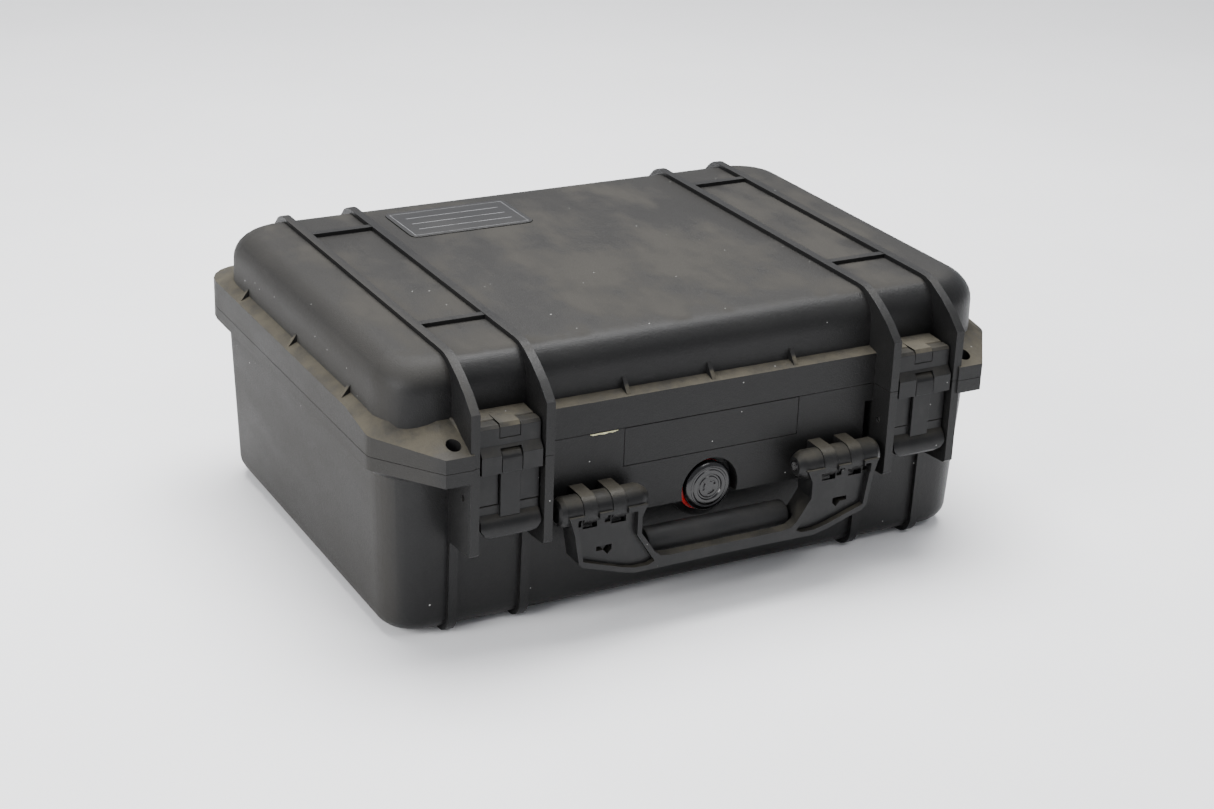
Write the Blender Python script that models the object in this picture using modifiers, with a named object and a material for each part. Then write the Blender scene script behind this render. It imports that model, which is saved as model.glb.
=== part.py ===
"""Moulded protective equipment case, closed.

A deep base and a domed lid meet at a flange with a sealing ring.  Two hinges sit at the back, two
two-stage latches and a fold-down carrying handle at the front, and a pressure valve between them.
Lengths are in millimetres and scaled to metres when a mesh is made.  +Z is up and -Y is the front.
"""

import math

import bmesh
import bpy
from mathutils import Matrix, Vector

MM = 0.001

# Overall shape
SEAM_Z = 118.3
SEAM_GAP = 0.3
CASE_TOP = 174.0
RIDGE_HEIGHT = 2.8
FOOT_HEIGHT = 3.0
WALL = 5.0

# Flange outline, in plan
FLANGE_X = 207.5
FLANGE_FRONT = -142.4
FLANGE_BACK = 157.3
FLANGE_CORNER = 25.0
EAR_INNER_X = 161.0
EAR_CORNER_X = 178.1
EAR_FRONT = -160.5
EAR_SIDE_Y = -121.0
EAR_HOLE = (169.8, -151.5, 4.3)
EAR_Z = 127.0
SHELF_Z = 135.6

# Base tub and lid dome, as outer sizes
TUB_X = 197.1
TUB_FRONT = -128.2
TUB_BACK = 146.6
TUB_DRAFT = 0.034
DRAFT_FROM = 23.0
TUB_CORNER = 23.0
TUB_EDGE = 11.0
DOME_X = 200.0
DOME_FRONT = -133.8
DOME_BACK = 142.5
DOME_CORNER = 29.0
DOME_EDGE = 18.0
DOME_TOP = CASE_TOP - RIDGE_HEIGHT

# Deep ribs
RIB_X = (114.8, 160.2)
RIB_HALF = 2.75
RIB_FRONT = -159.5
RIB_BACK = 160.5
RIB_LOW = 64.0
RIB_HIGH = 150.0

# Front panel of the base
PANEL_BOTTOM = 64.5
PLATE_X = 58.5
PLATE_LOW = 94.3

# Hinges
HINGE_Y = 161.3
HINGE_R = 3.7
HINGE_PIN_R = 1.75
HINGE_X = 137.5
HINGE_HALF = 18.5

# Latches
LATCH_X = 137.5
LATCH_HALF = 18.6
SPINE_HALF = 6.1
HOOK_PIN = (-149.4, 97.0)
LEVER_PIN = (-151.9, 118.2)
LEVER_KNUCKLE_R = 8.0
LATCH_PIN_R = 1.6
PIN_CLEARANCE = 0.3

# Handle
HANDLE_AXIS = (-154.2, 79.2)
KNUCKLE_R = 9.0
STRAP_R = 9.4
STRAP_SPANS = ((66.6, 75.5), (85.2, 93.9))
KNUCKLE_SPANS = ((51.0, 66.3), (75.8, 84.9), (94.2, 108.0))
HANDLE_PIN_R = 2.5
HANDLE_FACE = -165.0
HANDLE_REAR = -149.5
WEB_FACE = -161.5
WEB_REAR = -155.5
GRIP_AXIS = (-149.0, 47.0)
GRIP_R = 8.5
GRIP_HALF = 48.0
CORE_R = 4.0

# Valve
VALVE_Z = 70.0
VALVE_POCKET_R = 19.0
VALVE_KNOB_R = 15.7
VALVE_SEAT_Y = -133.5
VALVE_STEM_R = 6.0

# Sealing ring, in plan, measured to the centre of its section
SEAL_X = 200.3
SEAL_FRONT = -134.5
SEAL_BACK = 150.2
SEAL_CORNER_FRONT = 30.0
SEAL_CORNER_BACK = 22.0
SEAL_R = 2.2
SEAL_Z = 123.9


def clear_scene():
    for item in list(bpy.data.objects):
        bpy.data.objects.remove(item, do_unlink=True)


def make_collection(name):
    collection = bpy.data.collections.new(name)
    bpy.context.scene.collection.children.link(collection)
    return collection


def make_material(name, colour, roughness, metallic=0.0):
    material = bpy.data.materials.new(name)
    material.use_nodes = True
    shader = material.node_tree.nodes["Principled BSDF"]
    shader.inputs["Base Color"].default_value = (*colour, 1.0)
    shader.inputs["Roughness"].default_value = roughness
    shader.inputs["Metallic"].default_value = metallic
    material.diffuse_color = (*colour, 1.0)
    return material


clear_scene()
PARTS = make_collection("protective_case")
TOOLS = make_collection("case_cutters")
SHELL = make_material("shell_black", (0.035, 0.035, 0.037), 0.48)
LATCH = make_material("latch_black", (0.028, 0.028, 0.030), 0.42)
RUBBER = make_material("grip_rubber", (0.018, 0.018, 0.019), 0.65)
SEAL = make_material("seal_rubber", (0.022, 0.022, 0.023), 0.70)
RED = make_material("valve_ring_red", (0.55, 0.025, 0.02), 0.45)
STEEL = make_material("pin_steel", (0.55, 0.55, 0.56), 0.30, 1.0)
FOAM = make_material("foam_grey", (0.045, 0.045, 0.048), 0.95)
LABEL = make_material("label_black", (0.02, 0.02, 0.021), 0.35)


def finish_mesh(name, bm, material=None, smooth_angle=35.0):
    """Turn a bmesh in millimetres into an object: a part if it has a material, otherwise a tool."""
    bmesh.ops.recalc_face_normals(bm, faces=bm.faces)
    bmesh.ops.scale(bm, vec=(MM, MM, MM), verts=bm.verts)
    mesh = bpy.data.meshes.new(name)
    bm.to_mesh(mesh)
    bm.free()
    mesh.shade_smooth()
    mesh.set_sharp_from_angle(angle=math.radians(smooth_angle))
    item = bpy.data.objects.new(name, mesh)
    if material:
        mesh.materials.append(material)
        PARTS.objects.link(item)
    else:
        TOOLS.objects.link(item)
        item.hide_render = True
        item.display_type = "WIRE"
    return item


def boolean(target, tool, operation):
    modifier = target.modifiers.new(operation.lower(), "BOOLEAN")
    modifier.operation = operation
    modifier.object = tool
    modifier.solver = "EXACT"


def set_origin(item, point):
    """Move an object's origin to a point in millimetres and leave its shape where it is."""
    offset = Vector(point) * MM
    item.data.transform(Matrix.Translation(-offset))
    item.location = offset


def add_box(bm, x, y, z):
    """Add a box between the limits given on each axis."""
    centre = Vector(((x[0] + x[1]) / 2, (y[0] + y[1]) / 2, (z[0] + z[1]) / 2))
    size = (abs(x[1] - x[0]), abs(y[1] - y[0]), abs(z[1] - z[0]))
    bmesh.ops.create_cube(bm, size=1.0, matrix=Matrix.Translation(centre) @ Matrix.Diagonal((*size, 1.0)))


def add_cylinder(bm, axis, centre, radius, span, segments=32):
    """Add a cylinder along an axis, round the centre given by the two other coordinates."""
    middle = (span[0] + span[1]) / 2
    if axis == "X":
        place = Matrix.Translation((middle, *centre)) @ Matrix.Rotation(math.pi / 2, 4, "Y")
    elif axis == "Y":
        place = Matrix.Translation((centre[0], middle, centre[1])) @ Matrix.Rotation(-math.pi / 2, 4, "X")
    else:
        place = Matrix.Translation((*centre, middle))
    bmesh.ops.create_cone(
        bm,
        cap_ends=True,
        segments=segments,
        radius1=radius,
        radius2=radius,
        depth=span[1] - span[0],
        matrix=place,
    )


def add_prism(bm, axis, outline, span):
    """Extrude a flat outline along an axis, between the two limits of its span."""
    order = {
        "X": lambda a, b: (span[0], a, b),
        "Y": lambda a, b: (a, span[0], b),
        "Z": lambda a, b: (a, b, span[0]),
    }[axis]
    face = bm.faces.new([bm.verts.new(order(a, b)) for a, b in outline])
    grown = bmesh.ops.extrude_face_region(bm, geom=[face])
    raised = [v for v in grown["geom"] if isinstance(v, bmesh.types.BMVert)]
    step = {"X": (1, 0, 0), "Y": (0, 1, 0), "Z": (0, 0, 1)}[axis]
    bmesh.ops.translate(bm, verts=raised, vec=Vector(step) * (span[1] - span[0]))


def add_loft(bm, rings, closed=False):
    """Join rings of equally many points.  The ends are capped, or joined to each other if closed."""
    loops = [[bm.verts.new(point) for point in ring] for ring in rings]
    pairs = list(zip(loops, loops[1:]))
    if closed:
        pairs.append((loops[-1], loops[0]))
    for low, high in pairs:
        for k in range(len(low)):
            n = (k + 1) % len(low)
            bm.faces.new((low[k], low[n], high[n], high[k]))
    if not closed:
        bm.faces.new(list(reversed(loops[0])))
        bm.faces.new(loops[-1])


def tool_from(name, build):
    bm = bmesh.new()
    build(bm)
    return finish_mesh(name, bm)


def rounded_ring(half_x, front, back, front_radius, back_radius, z, steps=8):
    """Return a rounded rectangle in plan at height z."""
    corners = (
        (half_x - back_radius, back - back_radius, back_radius, 0),
        (back_radius - half_x, back - back_radius, back_radius, 90),
        (front_radius - half_x, front + front_radius, front_radius, 180),
        (half_x - front_radius, front + front_radius, front_radius, 270),
    )
    ring = []
    for centre_x, centre_y, radius, start in corners:
        for k in range(steps + 1):
            angle = math.radians(start + 90.0 * k / steps)
            ring.append((centre_x + radius * math.cos(angle), centre_y + radius * math.sin(angle), z))
    return ring


def tub_ring(z, inset, radius):
    """Return the tub's outline at height z, which widens upward with the draft, less an inset."""
    spread = (z - DRAFT_FROM) * TUB_DRAFT
    half_x = TUB_X + spread - inset
    return rounded_ring(half_x, TUB_FRONT - spread + inset, TUB_BACK + spread - inset, radius, radius, z)


def tub_rings(inset, floor, edge, top):
    rings = []
    for k in range(6):
        angle = math.radians(18.0 * k)
        back_off = edge * (1 - math.sin(angle))
        height = floor + edge * (1 - math.cos(angle))
        rings.append(tub_ring(height, inset + back_off, max(TUB_CORNER - inset - 0.75 * back_off, 3.0)))
    rings.append(tub_ring(top, inset, TUB_CORNER - inset))
    return rings


def dome_ring(z, inset, radius):
    return rounded_ring(DOME_X - inset, DOME_FRONT + inset, DOME_BACK - inset, radius, radius, z)


def dome_rings(inset, low, roof, edge):
    rings = [dome_ring(low, inset - 0.5, DOME_CORNER - inset + 0.5)]
    for k in range(9):
        angle = math.radians(11.25 * k)
        back_off = edge * (1 - math.cos(angle))
        height = roof - edge * (1 - math.sin(angle))
        rings.append(dome_ring(height, inset + back_off, DOME_CORNER - inset - 0.5 * back_off))
    return rings


def corner_arc(centre_x, centre_y, radius):
    arc = [math.radians(18.0 * k) for k in range(6)]
    return [(centre_x + radius * math.cos(a), centre_y + radius * math.sin(a)) for a in arc]


def mirrored(right):
    """Complete a half outline, given from the front round to the back, with its mirror image."""
    return right + [(-point[0], *point[1:]) for point in reversed(right)]


def flange_outline():
    """Return the right half of the flange's outline, with its padlock ear."""
    side = [
        (EAR_INNER_X, FLANGE_FRONT),
        (EAR_INNER_X, EAR_FRONT),
        (EAR_CORNER_X, EAR_FRONT),
        (FLANGE_X - 1.6, EAR_SIDE_Y - 1.5),
        (FLANGE_X - 0.3, EAR_SIDE_Y + 1.2),
        (FLANGE_X, EAR_SIDE_Y + 4.0),
        (FLANGE_X, EAR_SIDE_Y + 32.0),
    ]
    return side + corner_arc(FLANGE_X - FLANGE_CORNER, FLANGE_BACK - FLANGE_CORNER, FLANGE_CORNER)


def flange_ring(z):
    return mirrored([(x, y, z) for x, y in flange_outline()])


def lid_flange_edge():
    """Return the lid flange's upper outer edge, which drops toward the ears."""
    heights = [SHELF_Z + 2.0, EAR_Z, EAR_Z, EAR_Z + 3.2, EAR_Z + 3.6, EAR_Z + 4.0, SHELF_Z]
    outline = flange_outline()
    heights += [SHELF_Z] * (len(outline) - len(heights))
    return mirrored([(x, y, z) for (x, y), z in zip(outline, heights)])


def lid_flange_top():
    """Return the ring where the flange's sloped shelf runs into the dome."""
    inset = 3.0
    front = DOME_FRONT + inset
    side = [(156.0, front), (165.0, front), (171.0, front), (191.0, -121.0), (194.5, -115.0), (196.0, -110.0)]
    side.append((DOME_X - inset, -89.0))
    side += corner_arc(DOME_X - DOME_CORNER, DOME_BACK - DOME_CORNER, DOME_CORNER - inset)
    return mirrored([(x, y, SHELF_Z + 4.8) for x, y in side])


def seal_ring(offset, z):
    return rounded_ring(
        SEAL_X + offset,
        SEAL_FRONT - offset,
        SEAL_BACK + offset,
        SEAL_CORNER_FRONT + offset,
        SEAL_CORNER_BACK + offset,
        z,
        8,
    )


def add_seal_channel(bm, half_width, low, high):
    add_loft(
        bm,
        [
            seal_ring(-half_width, low),
            seal_ring(half_width, low),
            seal_ring(half_width, high),
            seal_ring(-half_width, high),
        ],
        closed=True,
    )


def both_sides(spans):
    for low, high in spans:
        yield low, high
        yield -high, -low


def rib_spans():
    return both_sides([(x - RIB_HALF, x + RIB_HALF) for x in RIB_X])


# ---------------------------------------------------------------- base


def base_rib_outline():
    """Return a base rib's side view: a deep fin above, and a low rib that wraps under as a foot rail."""
    top = SEAM_Z - SEAM_GAP / 2
    reach = FOOT_HEIGHT + TUB_EDGE
    front_low = TUB_FRONT - FOOT_HEIGHT + 0.3
    back_low = TUB_BACK + FOOT_HEIGHT - 0.3
    spread = (RIB_LOW - DRAFT_FROM) * TUB_DRAFT
    outline = [(RIB_FRONT, top), (RIB_FRONT, RIB_LOW + 1.5), (RIB_FRONT + 1.5, RIB_LOW)]
    outline.append((front_low - spread, RIB_LOW - 2.0))
    arc = [math.radians(18.0 * k) for k in range(6)]
    for angle in arc:
        outline.append((front_low + reach * (1 - math.cos(angle)), reach * (1 - math.sin(angle))))
    for angle in reversed(arc):
        outline.append((back_low - reach * (1 - math.cos(angle)), reach * (1 - math.sin(angle))))
    outline.append((back_low + spread, RIB_LOW - 2.0))
    outline += [(RIB_BACK - 1.5, RIB_LOW), (RIB_BACK, RIB_LOW + 1.5), (RIB_BACK, top)]
    return outline


def build_base():
    top = SEAM_Z - SEAM_GAP / 2
    bm = bmesh.new()
    add_loft(bm, tub_rings(0.0, FOOT_HEIGHT, TUB_EDGE, 112.0))
    base = finish_mesh("base_shell", bm, SHELL)

    def flange(bm):
        add_loft(bm, [flange_ring(110.0), flange_ring(top)])

    def skirt(bm):
        low = tub_ring(101.0, 1.5, TUB_CORNER)
        high = rounded_ring(FLANGE_X - 0.5, FLANGE_FRONT + 0.6, FLANGE_BACK - 0.5, 38.0, 26.0, 110.2)
        add_loft(bm, [low, high, [(x, y, 113.0) for x, y, z in high]])

    def ribs(bm):
        for span in rib_spans():
            add_prism(bm, "X", base_rib_outline(), span)

    def panel(bm):
        half = RIB_X[0] - 1.0
        add_box(bm, (-half, half), (FLANGE_FRONT, -120.0), (PANEL_BOTTOM, 114.0))

    def valve_boss(bm):
        add_cylinder(bm, "Y", (0.0, VALVE_Z), VALVE_POCKET_R + 2.5, (VALVE_SEAT_Y, -121.0), 48)

    def straps(bm):
        for span in both_sides(STRAP_SPANS):
            middle = HANDLE_AXIS
            outline = [(FLANGE_FRONT + 1.0, 88.6), (middle[0] + 4.0, 88.6)]
            for k in range(13):
                angle = math.radians(90.0 + 15.0 * k)
                outline.append(
                    (middle[0] + STRAP_R * math.cos(angle), middle[1] + STRAP_R * math.sin(angle))
                )
            outline.append((FLANGE_FRONT + 1.0, middle[1] - STRAP_R + 1.0))
            add_prism(bm, "X", outline, span)

    def knuckles(bm):
        for side in (-1, 1):
            for k in (0, 2, 4):
                low = side * HINGE_X - HINGE_HALF + k * 7.4 + 0.2
                span = (low, low + 7.0)
                add_prism(bm, "X", hinge_outline(-1), span)

    def tongue(bm):
        add_seal_channel(bm, 1.5, 116.0, 121.3)

    for name, build in (
        ("base_flange", flange),
        ("base_skirt", skirt),
        ("base_ribs", ribs),
        ("base_panel", panel),
        ("base_valve_boss", valve_boss),
        ("base_straps", straps),
        ("base_hinge_knuckles", knuckles),
    ):
        boolean(base, tool_from(name, build), "UNION")

    def interior(bm):
        rings = tub_rings(WALL, 8.5, TUB_EDGE - 4.0, 112.0)
        add_loft(bm, rings + [tub_ring(130.0, WALL, TUB_CORNER - WALL)])

    def coring(bm):
        for side in (-1, 1):
            near, far = sorted((side * 24.0, side * 103.0))
            add_box(bm, (near, far), (-138.6, -130.6), (50.0, 106.0))

    def panel_ends(bm):
        for side in (-1, 1):
            near, far = sorted((side * 106.5, side * (RIB_X[0] - RIB_HALF)))
            add_box(bm, (near, far), (-150.0, -132.5), (50.0, 107.0))

    def valve_pocket(bm):
        add_cylinder(bm, "Y", (0.0, VALVE_Z), VALVE_POCKET_R, (-150.0, VALVE_SEAT_Y), 48)

    def bores(bm):
        add_cylinder(bm, "Y", (0.0, VALVE_Z), VALVE_STEM_R + PIN_CLEARANCE, (-145.0, -110.0), 32)
        for side in (-1, 1):
            x = side * EAR_HOLE[0]
            add_cylinder(bm, "Z", (x, EAR_HOLE[1]), EAR_HOLE[2], (100.0, 125.0), 24)
            hinge = side * HINGE_X
            add_cylinder(
                bm,
                "X",
                (HINGE_Y, SEAM_Z),
                HINGE_PIN_R + PIN_CLEARANCE,
                (hinge - HINGE_HALF - 0.5, hinge + HINGE_HALF + 0.5),
                20,
            )
            latch = side * LATCH_X
            reach = RIB_X[1] - LATCH_X + RIB_HALF + 2.0
            add_cylinder(bm, "X", HOOK_PIN, LATCH_PIN_R + PIN_CLEARANCE, (latch - reach, latch + reach), 20)
            near, far = sorted((side * 60.0, side * 100.0))
            add_cylinder(bm, "X", HANDLE_AXIS, HANDLE_PIN_R + PIN_CLEARANCE, (near, far), 24)

    def plate_recess(bm):
        half = PLATE_X + 0.3
        add_box(bm, (-half, half), (-150.0, FLANGE_FRONT + 1.5), (PLATE_LOW - 0.3, 125.0))

    for name, build in (
        ("base_interior", interior),
        ("base_panel_coring", coring),
        ("base_panel_ends", panel_ends),
        ("base_valve_pocket", valve_pocket),
        ("base_bores", bores),
        ("base_plate_recess", plate_recess),
    ):
        boolean(base, tool_from(name, build), "DIFFERENCE")
    boolean(base, tool_from("base_seal_tongue", tongue), "UNION")
    return base


def hinge_outline(side):
    """Return a hinge knuckle's side view.  side is -1 for the base's knuckle and 1 for the lid's."""
    near = SEAM_Z + side * SEAM_GAP / 2
    far = SEAM_Z + side * 6.5
    outline = [(150.0, near), (150.0, far), (FLANGE_BACK, far)]
    for k in range(16):
        angle = math.radians(side * (90.0 - 18.0 * k))
        outline.append((HINGE_Y + HINGE_R * math.cos(angle), SEAM_Z + HINGE_R * math.sin(angle)))
    outline.append((HINGE_Y - HINGE_R, near))
    return outline


# ---------------------------------------------------------------- lid


def lid_rib_outline():
    """Return a lid rib's side view: a deep fin at each end and a low ridge across the roof."""
    bottom = SEAM_Z + SEAM_GAP / 2
    front = [
        (RIB_FRONT, bottom),
        (RIB_FRONT, RIB_HIGH),
        (-150.0, 158.9),
        (-140.0, 165.7),
        (-129.7, 171.3),
        (-123.0, 173.6),
        (-117.0, CASE_TOP),
    ]
    back = [(RIB_BACK, bottom), (RIB_BACK, RIB_HIGH), (138.0, 171.0), (134.0, 173.2), (130.0, CASE_TOP)]
    return front + list(reversed(back))


def build_lid():
    bottom = SEAM_Z + SEAM_GAP / 2
    bm = bmesh.new()
    add_loft(bm, dome_rings(0.0, 123.0, DOME_TOP, DOME_EDGE))
    lid = finish_mesh("lid_shell", bm, SHELL)

    def flange(bm):
        add_loft(bm, [flange_ring(bottom), lid_flange_edge(), lid_flange_top()])
        bmesh.ops.triangulate(bm, faces=bm.faces, quad_method="SHORT_EDGE")

    def ribs(bm):
        for span in rib_spans():
            add_prism(bm, "X", lid_rib_outline(), span)

    def cross_ridges(bm):
        for low, high in both_sides([(RIB_X[0], RIB_X[1])]):
            for y in (-76.0, 93.0):
                add_box(bm, (low, high), (y - 2.5, y + 2.5), (DOME_TOP - 2.0, CASE_TOP - 0.3))

    def gussets(bm):
        low = SHELF_Z - 1.0
        top = SHELF_Z + 11.0
        for x in (-56.0, 0.0, 56.0):
            span = (x - 1.3, x + 1.3)
            outline = [(FLANGE_FRONT + 0.4, low + 2.0), (DOME_FRONT - 0.3, top), (DOME_FRONT + 1.5, top)]
            add_prism(bm, "X", outline + [(DOME_FRONT + 1.5, low)], span)
            outline = [(FLANGE_BACK - 0.4, low), (DOME_BACK + 0.3, top), (DOME_BACK - 1.5, top)]
            add_prism(bm, "X", outline + [(DOME_BACK - 1.5, low)], span)
        for y in (-77.0, 7.4, 91.0):
            for side in (-1, 1):
                outline = [(FLANGE_X - 0.4, low), (DOME_X + 0.3, top - 3.0), (DOME_X - 1.5, top - 3.0)]
                outline.append((DOME_X - 1.5, low))
                add_prism(bm, "Y", [(side * x, z) for x, z in outline], (y - 1.3, y + 1.3))

    def keepers(bm):
        for side in (-1, 1):
            x = side * LATCH_X
            outline = [
                (-131.0, 126.5),
                (-145.5, 126.5),
                (-150.9, 129.5),
                (-150.9, 134.0),
                (-147.1, 134.0),
                (-147.1, 139.2),
                (-146.2, 140.2),
                (-131.0, 141.2),
            ]
            add_prism(bm, "X", outline, (x - LATCH_HALF + 0.4, x + LATCH_HALF - 0.4))

    def keeper_noses(bm):
        for side in (-1, 1):
            x = side * LATCH_X
            outline = [(-140.0, 132.4), (-155.3, 132.4), (-155.3, 138.6), (-153.6, 140.7), (-140.0, 140.8)]
            add_prism(bm, "X", outline, (x - SPINE_HALF, x + SPINE_HALF))

    def knuckles(bm):
        for side in (-1, 1):
            for k in (1, 3):
                low = side * HINGE_X - HINGE_HALF + k * 7.4 + 0.2
                span = (low, low + 7.0)
                add_prism(bm, "X", hinge_outline(1), span)

    for name, build in (
        ("lid_flange", flange),
        ("lid_ribs", ribs),
        ("lid_cross_ridges", cross_ridges),
        ("lid_gussets", gussets),
        ("lid_keepers", keepers),
        ("lid_keeper_noses", keeper_noses),
        ("lid_hinge_knuckles", knuckles),
    ):
        boolean(lid, tool_from(name, build), "UNION")

    def interior(bm):
        rings = dome_rings(WALL, 127.0, DOME_TOP - 4.5, DOME_EDGE - 5.0)
        add_loft(bm, [dome_ring(110.0, WALL - 0.5, DOME_CORNER - WALL + 0.5)] + rings)

    def groove(bm):
        add_seal_channel(bm, SEAL_R + 0.5, 110.0, SEAL_Z + SEAL_R + 0.3)

    def holes(bm):
        for side in (-1, 1):
            x = side * EAR_HOLE[0]
            add_cylinder(bm, "Z", (x, EAR_HOLE[1]), EAR_HOLE[2], (100.0, 150.0), 24)
            hinge = side * HINGE_X
            add_cylinder(
                bm,
                "X",
                (HINGE_Y, SEAM_Z),
                HINGE_PIN_R + PIN_CLEARANCE,
                (hinge - HINGE_HALF - 0.5, hinge + HINGE_HALF + 0.5),
                20,
            )

    def label_recess(bm):
        add_label(bm, 0.4, (DOME_TOP - 0.6, DOME_TOP + 10.0))

    for name, build in (
        ("lid_interior", interior),
        ("lid_seal_groove", groove),
        ("lid_bores", holes),
        ("lid_label_recess", label_recess),
    ):
        boolean(lid, tool_from(name, build), "DIFFERENCE")
    set_origin(lid, (0.0, HINGE_Y, SEAM_Z))
    return lid


def add_label(bm, margin, span):
    half_x = 42.5 + margin
    half_y = 24.5 + margin
    radius = 5.0 + margin
    outline = [(x - 56.8, y + 91.5) for x, y, z in rounded_ring(half_x, -half_y, half_y, radius, radius, 0.0, 4)]
    add_prism(bm, "Z", outline, span)


def build_lid_trim():
    bm = bmesh.new()
    add_label(bm, 0.0, (DOME_TOP - 0.3, DOME_TOP + 0.5))
    finish_mesh("lid_label", bm, LABEL)

    bm = bmesh.new()
    rings = []
    for k in range(10):
        angle = math.radians(36.0 * k)
        rings.append(seal_ring(SEAL_R * math.cos(angle), SEAL_Z + SEAL_R * math.sin(angle)))
    add_loft(bm, rings, closed=True)
    finish_mesh("lid_seal", bm, SEAL)

    bm = bmesh.new()
    rings = [dome_ring(132.0, WALL + 1.0, DOME_CORNER - WALL - 1.0)]
    rings.append(dome_ring(152.5, WALL + 1.2, DOME_CORNER - WALL - 1.5))
    rings.append(dome_ring(160.5, WALL + 5.5, DOME_CORNER - WALL - 5.0))
    rings.append(dome_ring(166.2, WALL + 15.0, 10.0))
    add_loft(bm, rings)
    finish_mesh("lid_foam", bm, FOAM)


def build_base_trim():
    bm = bmesh.new()
    add_box(bm, (-PLATE_X, PLATE_X), (FLANGE_FRONT, FLANGE_FRONT + 1.2), (PLATE_LOW, 118.0))
    finish_mesh("name_plate", bm, SHELL)

    bm = bmesh.new()
    add_loft(bm, [tub_ring(8.9, WALL + 9.0, 10.0), tub_ring(13.0, WALL + 3.5, 14.0), tub_ring(20.0, WALL + 1.0, 16.0)])
    finish_mesh("base_foam_pad", bm, FOAM)

    bm = bmesh.new()
    add_loft(bm, [tub_ring(20.4, WALL + 1.0, 16.0), tub_ring(112.0, WALL + 1.0, 17.0)])
    insert = finish_mesh("base_foam_insert", bm, FOAM)

    def pocket(bm):
        add_loft(
            bm,
            [
                rounded_ring(120.0, -62.0, 77.0, 6.0, 6.0, 32.0, 3),
                rounded_ring(120.0, -62.0, 77.0, 6.0, 6.0, 120.0, 3),
            ],
        )

    def valve_notch(bm):
        add_box(bm, (-13.5, 13.5), (-130.0, -113.5), (56.0, 120.0))

    boolean(insert, tool_from("foam_pocket", pocket), "DIFFERENCE")
    boolean(insert, tool_from("foam_valve_notch", valve_notch), "DIFFERENCE")


def build_hinge_pins():
    for side, name in ((-1, "hinge_pin_left"), (1, "hinge_pin_right")):
        bm = bmesh.new()
        centre = side * HINGE_X
        add_cylinder(bm, "X", (HINGE_Y, SEAM_Z), HINGE_PIN_R, (centre - HINGE_HALF, centre + HINGE_HALF), 20)
        pin = finish_mesh(name, bm, STEEL)
        set_origin(pin, (centre, HINGE_Y, SEAM_Z))


# ---------------------------------------------------------------- latches


def hook_arm_outline():
    """Return the side view of the hook's two arms, from the lower pin up to the horns."""
    return [
        (-154.6, 92.3),
        (-154.6, 112.2),
        (-159.0, 112.6),
        (-159.2, 123.4),
        (-155.4, 128.2),
        (-155.4, 138.2),
        (-153.7, 139.9),
        (-147.4, 139.9),
        (-147.4, 134.3),
        (-151.2, 134.3),
        (-151.2, 128.5),
        (-146.5, 123.5),
        (-144.6, 118.0),
        (-144.6, 96.0),
        (-146.8, 92.3),
    ]


def lever_spine_outline():
    """Return the side view of the lever's spine: a round knuckle on the upper pin and a flat face."""
    outline = [(-157.0, 85.2), (-157.0, 112.3), (-159.2, 112.7), (-159.2, 121.0)]
    for k in range(14):
        angle = math.radians(152.0 - 17.0 * k)
        rise = (LEVER_KNUCKLE_R * math.cos(angle), LEVER_KNUCKLE_R * math.sin(angle))
        outline.append((LEVER_PIN[0] + rise[0], LEVER_PIN[1] + rise[1]))
    outline += [(-152.2, 108.0), (-152.2, 85.2)]
    return outline


def lever_block_outline():
    """Return the side view of the lever's full-width block and its rolled lip."""
    return [
        (-154.5, 91.8),
        (-154.5, 86.6),
        (-156.0, 85.2),
        (-157.8, 83.2),
        (-159.0, 80.4),
        (-159.4, 77.4),
        (-158.9, 74.8),
        (-157.4, 73.0),
        (-155.9, 73.2),
        (-154.8, 75.2),
        (-152.6, 80.0),
        (-150.2, 85.0),
        (-148.6, 91.8),
    ]


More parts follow.
